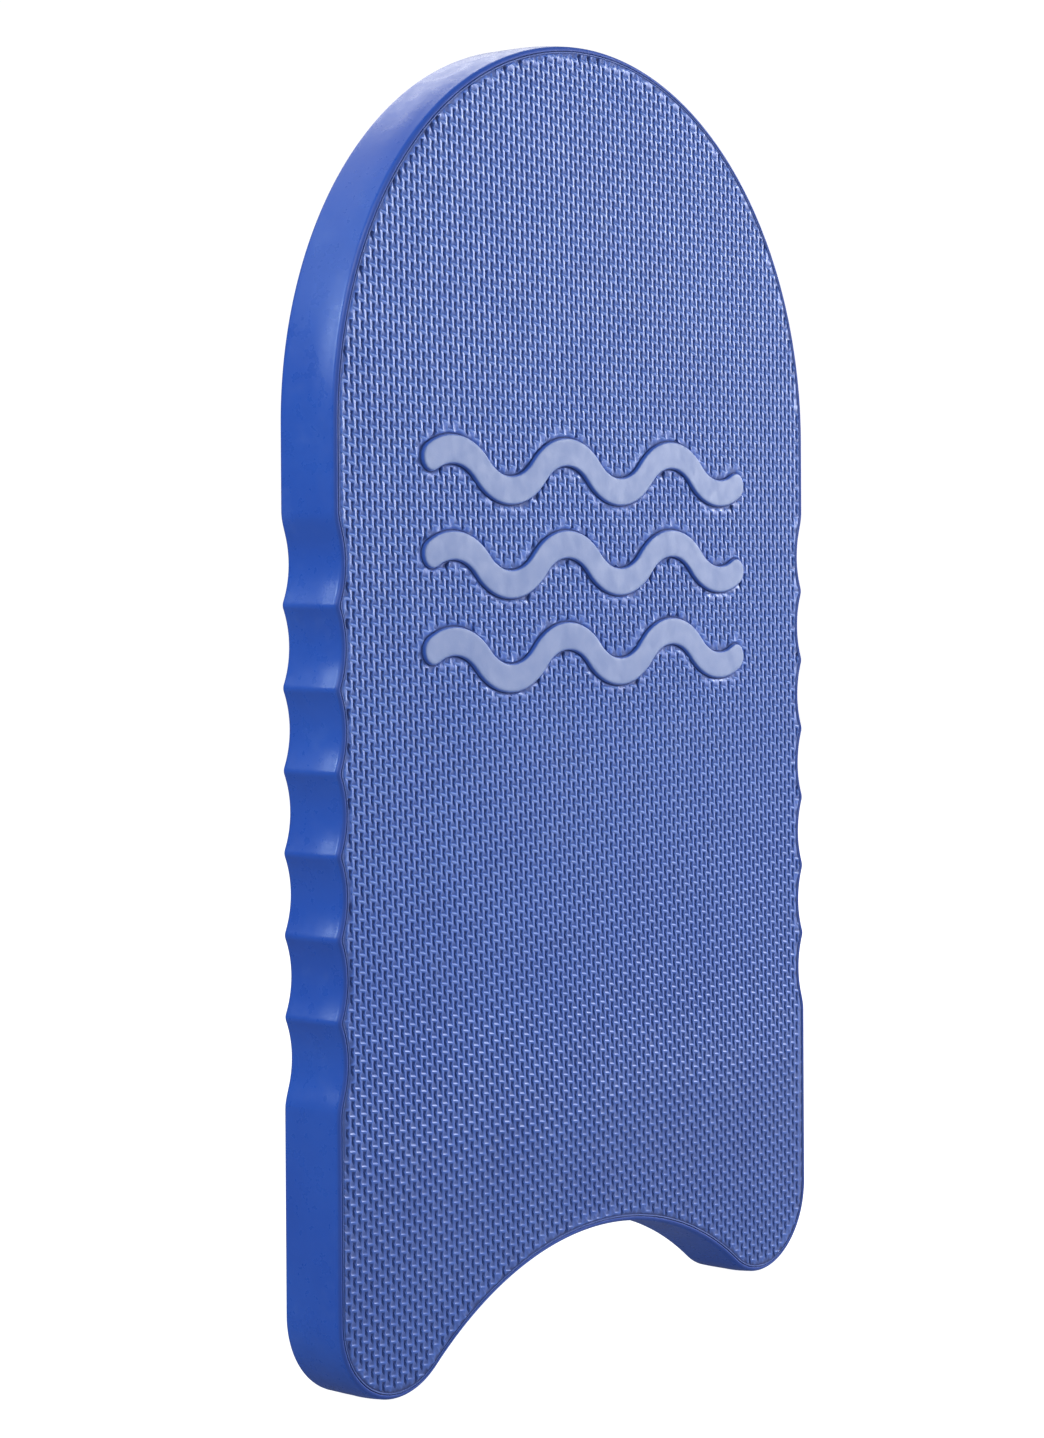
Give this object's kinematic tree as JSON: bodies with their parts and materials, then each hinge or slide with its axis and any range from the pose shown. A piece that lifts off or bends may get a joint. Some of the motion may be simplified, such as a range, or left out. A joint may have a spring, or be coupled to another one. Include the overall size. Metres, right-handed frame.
{
  "type": "kickboard float",
  "caption": "Flat foam swimming float with a half-round nose, an arched tail, finger grips along both sides and raised wave bars.",
  "frame": {"origin": "middle of the board, level with the bottom of its two tail lobes", "axes": "+Z along the board from the tail to the nose, +X across it, +Y through it towards the plain back face"},
  "size_m": [0.284, 0.0257, 0.47],
  "materials": {
    "foam_core": "closed-cell EVA foam, matte",
    "face_sheet": "embossed EVA foam, matte",
    "edge_skin": "smooth moulded EVA skin, satin",
    "emblem": "smooth EVA foam, matte"
  },
  "bodies": {
    "root": {"foam_core": "foam_core", "front_skin": "face_sheet", "back_skin": "face_sheet", "edge_skin": "edge_skin", "wave_top": "emblem", "wave_middle": "emblem", "wave_bottom": "emblem"}
  },
  "joints": []
}
